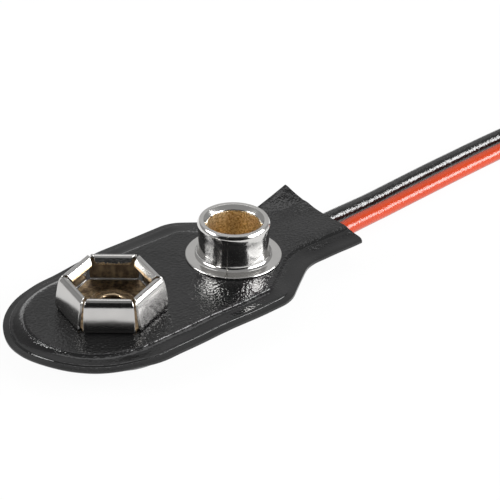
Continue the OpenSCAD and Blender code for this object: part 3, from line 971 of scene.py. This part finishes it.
def press_seam(bm):
    """Presses a hairline groove into the outside, where the tool's two halves met."""
    outwards = Vector((cos(SEAM_ANGLE), sin(SEAM_ANGLE), 0))
    across = Vector((-sin(SEAM_ANGLE), cos(SEAM_ANGLE), 0))
    for offset in (-SEAM_W / 2, 0, SEAM_W / 2):
        everything = bm.verts[:] + bm.edges[:] + bm.faces[:]
        bmesh.ops.bisect_plane(
            bm, geom=everything, dist=METAL_SNAP, plane_co=across * offset, plane_no=across
        )
    bm.normal_update()
    for vert in bm.verts:
        if abs(vert.co.dot(across)) < SEAM_W / 10 and vert.co.dot(outwards) > STUD_NECK_R - SEAM_W:
            vert.co -= vert.normal * SEAM_DEPTH


def spun(bm, steps):
    """Closes a section and spins it into a solid of revolution about Z."""
    ends = [v for v in bm.verts if len(v.link_edges) == 1]
    bmesh.ops.contextual_create(bm, geom=ends)
    section = bm.verts[:] + bm.edges[:]
    bmesh.ops.spin(
        bm, geom=section, cent=(0, 0, 0), axis=(0, 0, 1), angle=radians(360), steps=steps, use_merge=True
    )
    bmesh.ops.remove_doubles(bm, verts=bm.verts[:], dist=METAL_SNAP)
    bmesh.ops.recalc_face_normals(bm, faces=bm.faces[:])


spun(stud_bm, STUD_STEPS)
press_seam(stud_bm)
stud_place = Matrix.Translation((stud_x, 0, seat_z))
mesh_piece("snap_stud", stud_bm, [plated_stud], "nickel", "stud_terminal", place=stud_place, sharp=35)

# %% [markdown]
# ## The eyelets
# A hollow rivet clamps each terminal, the upper sheet and the board together.
# Its head shows as a bright ring on the floor of the socket and of the stud.
# It is round, so it is spun as well: head, barrel and the end rolled out below.

# %% Spin the eyelets
EYELET_HOLE_R = 0.95
EYELET_BARREL_R = 1.3
EYELET_HEAD_R = 1.9
EYELET_HEAD_T = 0.3
EYELET_ROLL_T = 0.35
EYELET_STEPS = 64


def eyelet_metal(place):
    stain = place.noise(0.3, detail=3)
    return {
        "Base Color": stain.colours((0.38, 0.27, 0.17, 1), (0.7, 0.55, 0.37, 1)),
        "Metallic": 1.0,
        "Roughness": 0.14 + 0.16 * stain,
        "Normal": stain.bump(0.006),
    }


eyelet_brass = make_finish("eyelet_brass", eyelet_metal)


def spin_eyelet(name, node):
    """A hollow rivet in the place of a CAD eyelet."""
    low, high = (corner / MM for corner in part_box(node))
    length = high.z - low.z
    edge = EYELET_HEAD_T / 2
    bm = bmesh.new()
    pen = section_pen(bm, EYELET_HOLE_R, 0)
    roll_edge = EYELET_ROLL_T / 2
    pen.run(EYELET_HEAD_R - roll_edge - EYELET_HOLE_R)
    pen.turn(roll_edge, 180, 8)
    pen.run(EYELET_HEAD_R - roll_edge - EYELET_BARREL_R)
    pen.heading = Vector((0, 0, 1))
    pen.run(length - EYELET_HEAD_T - EYELET_ROLL_T)
    pen.heading = Vector((1, 0, 0))
    pen.run(EYELET_HEAD_R - edge - EYELET_BARREL_R)
    pen.turn(edge, 180, 10)
    pen.run(EYELET_HEAD_R - edge - EYELET_HOLE_R - edge)
    pen.turn(edge, 90, 6)
    spun(bm, EYELET_STEPS)
    place = Matrix.Translation(((low.x + high.x) / 2, 0, low.z))
    mesh_piece(name, bm, [eyelet_brass], "brass", node, place=place)


spin_eyelet("socket_rivet", "socket_eyelet")
spin_eyelet("stud_rivet", "stud_eyelet")

# %% [markdown]
# ## What the pouch hides
# The board, the solder and the stripped ends lie between the sheets.
# They keep their CAD shapes, because nothing about them shows, but each still gets a
# finish of its own, so that the part can be opened up and looked at.

# %% Finish the hidden pieces


def fibre(place):
    fibres = place.noise(0.35, detail=5, roughness=0.7)
    return {
        "Base Color": fibres.colours((0.2, 0.1, 0.045, 1), (0.4, 0.24, 0.12, 1)),
        "Roughness": 0.75 + 0.15 * fibres,
        "Normal": fibres.bump(0.02),
    }


def solder_metal(place):
    cloud = place.noise(0.5, detail=3)
    return {
        "Base Color": cloud.colours((0.46, 0.47, 0.48, 1), (0.66, 0.66, 0.67, 1)),
        "Metallic": 1.0,
        "Roughness": 0.18 + 0.25 * cloud,
    }


hidden = {
    "terminal_board": make_finish("fibre_board", fibre),
    "socket_solder": make_finish("solder", solder_metal),
}
hidden["stud_solder"] = hidden["socket_solder"]
hidden["red_strands"] = hidden["black_strands"] = tinned
for node, finish in hidden.items():
    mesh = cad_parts[node].data
    mesh.materials.clear()
    mesh.materials.append(finish)
print("hidden pieces:", sorted(hidden))

# %% [markdown]
# ## The tie
# A strip of white plastic goes once round the coil and keeps it closed.
# A box with a hole would be the same size, but a strip is thin, and it rounds the
# corners of what it holds. Its section is drawn by the pen, spun a few degrees about
# the coil's centre, and thickened.

# %% Wrap the tie
TIE_T = 0.2
TIE_W = 2.5
TIE_ANGLE = -20
TIE_CORNER = 0.6
tie_low, tie_high = (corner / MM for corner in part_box("lead_tie"))
tie_inner_r = RED_COIL_R - LEAD_D / 2 - TIE_T
tie_outer_r = BLACK_COIL_R + LEAD_D / 2 + TIE_T
tie_span = degrees(TIE_W / ((RED_COIL_R + BLACK_COIL_R) / 2))


def tie_plastic(place):
    cloud = place.noise(1.2, detail=3)
    return {
        "Base Color": cloud.colours((0.62, 0.62, 0.58, 1), (0.76, 0.76, 0.72, 1)),
        "Roughness": 0.45 + 0.15 * cloud,
        "Normal": place.noise(0.15, detail=2).bump(0.01),
    }


white_strip = make_finish("tie_strip", tie_plastic)
tie_depth = tie_outer_r - tie_inner_r
tie_height = tie_high.z - tie_low.z
tie_bm = bmesh.new()
tie_pen = section_pen(tie_bm, tie_inner_r + TIE_CORNER, tie_low.z)
for length in (tie_depth, tie_height, tie_depth, tie_height):
    tie_pen.run(length - 2 * TIE_CORNER)
    tie_pen.turn(TIE_CORNER, 90, 6)
bmesh.ops.remove_doubles(tie_bm, verts=tie_bm.verts[:], dist=0.001)
tie_loop = tie_bm.verts[:] + tie_bm.edges[:]
bmesh.ops.spin(tie_bm, geom=tie_loop, cent=(0, 0, 0), axis=(0, 0, 1), angle=radians(tie_span), steps=6)
bmesh.ops.recalc_face_normals(tie_bm, faces=tie_bm.faces[:])
bmesh.ops.solidify(tie_bm, geom=tie_bm.faces[:], thickness=TIE_T)
tie_place = (
    Matrix.Translation((COIL_X, COIL_Y, 0)) @ Matrix.Rotation(radians(TIE_ANGLE - tie_span / 2), 4, "Z")
)
mesh_piece("coil_tie", tie_bm, [white_strip], "tie", "lead_tie", place=tie_place)

# %% [markdown]
# ## The stage
# The photograph is lit for a catalogue: two strong soft lights, one on each side, a
# weak one above and a grey panel behind. Metal shows this most, because it mirrors
# all of it. A single bright world would make it flat and milky. So the world is grey,
# and four area lamps are the soft boxes. Each has a turn from the camera's side, an
# elevation, a distance, a width and a height in metres, and a radiance.

# %% Light the part
WORLD_GREY = 0.32
STAGE_CENTRE = Vector((4, 0, 3)) * MM
SOFT_BOXES = {
    "left_box": (-80, 28, 0.45, 0.26, 0.11, 16),
    "right_box": (80, 23, 0.45, 0.45, 0.2, 13),
    "top_box": (180, 66, 0.5, 0.4, 0.2, 1.6),
    "back_panel": (180, 32, 0.6, 0.6, 0.4, 0.25),
}
camera_side = degrees(PHOTO_AZIMUTH)


def soft_box(name, azimuth, elevation, distance, width, height, radiance):
    """An area lamp of that radiance, which faces the part."""
    data = bpy.data.lights.new(name, "AREA")
    data.shape = "RECTANGLE"
    data.size = width
    data.size_y = height
    data.energy = radiance * pi * width * height
    towards = direction(radians(azimuth), radians(elevation))
    lamp = bpy.data.objects.new(name, data)
    lamp.location = STAGE_CENTRE + towards * distance
    lamp.rotation_mode = "QUATERNION"
    lamp.rotation_quaternion = towards.to_track_quat("Z", "Y")
    lamp.visible_camera = False
    bpy.context.scene.collection.objects.link(lamp)


for name, (turned, *the_rest) in SOFT_BOXES.items():
    soft_box(name, camera_side + turned, *the_rest)
world = bpy.data.worlds.new("grey_room")
bpy.context.scene.world = world
world.use_nodes = True
world_colour = world.node_tree.nodes["Background"].inputs["Color"]
world_colour.default_value = (WORLD_GREY, WORLD_GREY, WORLD_GREY, 1)
print("lamps:", list(SOFT_BOXES), "world grey:", WORLD_GREY)

# %% [markdown]
# ## The dark card
# Bright metal needs something dark to mirror, or it loses its edges. A photographer
# puts a black card beside the lens. Here it stands behind the camera, which never sees
# it directly. It gives the dark line along the stud's lip and the petals.

# %% Stand the card
CARD_DISTANCE = 0.5
CARD_W, CARD_H = 1.1, 0.42
CARD_BLACK = 0.01


def dark_card(name, azimuth, distance, width, height):
    """A black card that stands on the table and faces the part, unseen by the camera."""
    bm = bmesh.new()
    bmesh.ops.create_grid(bm, x_segments=1, y_segments=1, size=0.5)
    bmesh.ops.scale(bm, verts=bm.verts, vec=(width, height, 1))
    mesh = bpy.data.meshes.new(name)
    bm.to_mesh(mesh)
    bm.free()
    towards = direction(radians(azimuth), 0)
    card = bpy.data.objects.new(name, mesh)
    card.location = towards * distance + Vector((0, 0, height / 2))
    card.rotation_mode = "QUATERNION"
    card.rotation_quaternion = towards.to_track_quat("Z", "Y")
    card.visible_camera = False
    mesh.materials.append(black_card)
    bpy.context.scene.collection.objects.link(card)


black_card = bpy.data.materials.new("black_card")
black_card.use_nodes = True
card_paint = black_card.node_tree.nodes["Principled BSDF"].inputs
card_paint["Base Color"].default_value = (CARD_BLACK, CARD_BLACK, CARD_BLACK, 1)
card_paint["Specular IOR Level"].default_value = 0
dark_card("camera_side_card", camera_side, CARD_DISTANCE, CARD_W, CARD_H)
print("card:", CARD_W, "by", CARD_H, "m")

# %% [markdown]
# ## The table
# The part lies on white paper that fills the picture. A painted floor would go grey
# away from the lamps. So the paper glows where it is seen, straight or in a mirror. A
# small share of it stays plain diffuse white there, which keeps a faint shadow.

# %% Lay the table
TABLE_SIZE = 8.0
TABLE_GAP = 0.02
PAPER_WHITE = 0.92
GLOW_SHARE = 0.95


def table_finish():
    """White paper that glows where it is seen, and is plain where it lights the part."""
    material = bpy.data.materials.new("white_table")
    material.use_nodes = True
    tree = material.node_tree
    tree.nodes.clear()
    start = Wire(tree)
    seen = start.node("LightPath", output="Is Camera Ray")
    mirrored = start.node("LightPath", output="Is Glossy Ray")
    through = start.node("LightPath", output="Is Transmission Ray")
    share = (seen + mirrored + through) * GLOW_SHARE
    paper = start.node("BsdfDiffuse", values={"Color": (PAPER_WHITE, PAPER_WHITE, PAPER_WHITE, 1)})
    glow = start.node("Emission", values={"Color": (1, 1, 1, 1), "Strength": 1.0})
    both = start.node("MixShader", values={0: share, 1: paper, 2: glow})
    start.node("OutputMaterial", values={"Surface": both})
    return material


table_bm = bmesh.new()
bmesh.ops.create_grid(table_bm, x_segments=1, y_segments=1, size=TABLE_SIZE / 2)
table_mesh = bpy.data.meshes.new("table")
table_bm.to_mesh(table_mesh)
table_bm.free()
table = bpy.data.objects.new("table", table_mesh)
table.location.z = -TABLE_GAP * MM
table_mesh.materials.append(table_finish())
bpy.context.scene.collection.objects.link(table)
bpy.context.scene.view_settings.view_transform = "Standard"
print("table:", TABLE_SIZE, "m across")
